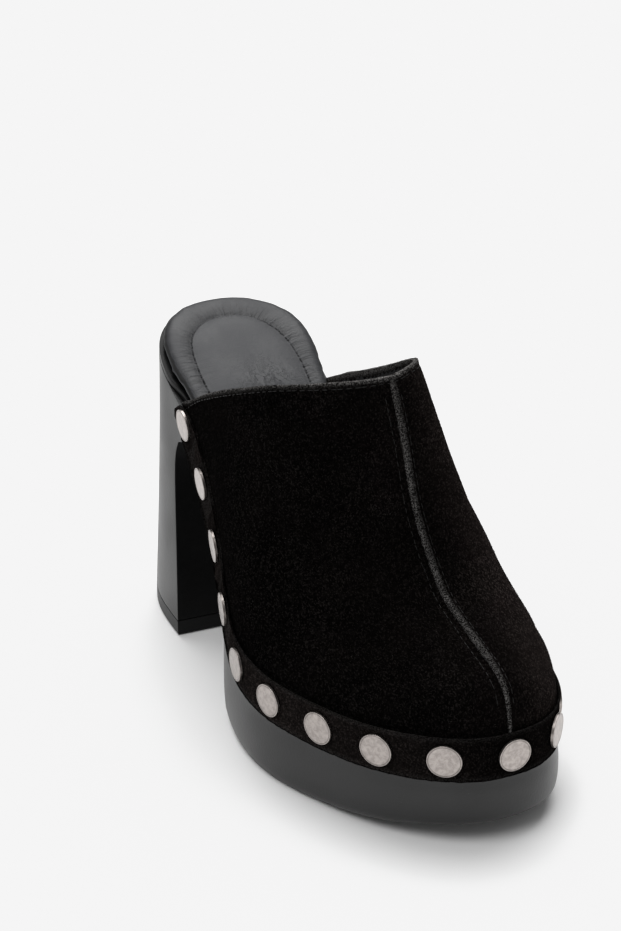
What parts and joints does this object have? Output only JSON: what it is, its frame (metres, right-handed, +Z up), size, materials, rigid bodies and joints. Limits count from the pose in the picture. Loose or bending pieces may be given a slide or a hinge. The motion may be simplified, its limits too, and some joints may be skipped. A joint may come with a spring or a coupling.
{
  "type": "platform clog",
  "caption": "High-heeled platform clog for a right foot: closed suede vamp with a raised centre seam, studded rand, padded insole, leather-wrapped platform and block heel, open at the back.",
  "frame": {"origin": "bottom centre of the bounding box, on the floor under the arch", "axes": "+Z up; -Y towards the toe, +Y towards the heel; +X towards the inner (medial) side of the foot, -X towards the outer side"},
  "size_m": [0.0992, 0.2256, 0.138],
  "materials": {
    "suede": "matte napped suede",
    "leather_wrap": "smooth matte with a soft sheen",
    "leather_lining": "smooth matte with fine creases",
    "nickel": "satin, slightly mottled",
    "rubber": "matte"
  },
  "bodies": {
    "root": {"upper": "suede", "rand": "suede", "platform_sole": "leather_wrap", "heel_block": "leather_wrap", "heel_lift": "rubber", "insole_board": "leather_wrap", "insole_pad": "leather_lining", "stud_toe": "nickel", "stud_lateral_1": "nickel", "stud_lateral_2": "nickel", "stud_lateral_3": "nickel", "stud_lateral_4": "nickel", "stud_lateral_5": "nickel", "stud_lateral_6": "nickel", "stud_lateral_7": "nickel", "stud_lateral_8": "nickel", "stud_lateral_9": "nickel", "stud_medial_1": "nickel", "stud_medial_2": "nickel", "stud_medial_3": "nickel", "stud_medial_4": "nickel", "stud_medial_5": "nickel", "stud_medial_6": "nickel", "stud_medial_7": "nickel", "stud_medial_8": "nickel", "stud_medial_9": "nickel"}
  },
  "joints": []
}
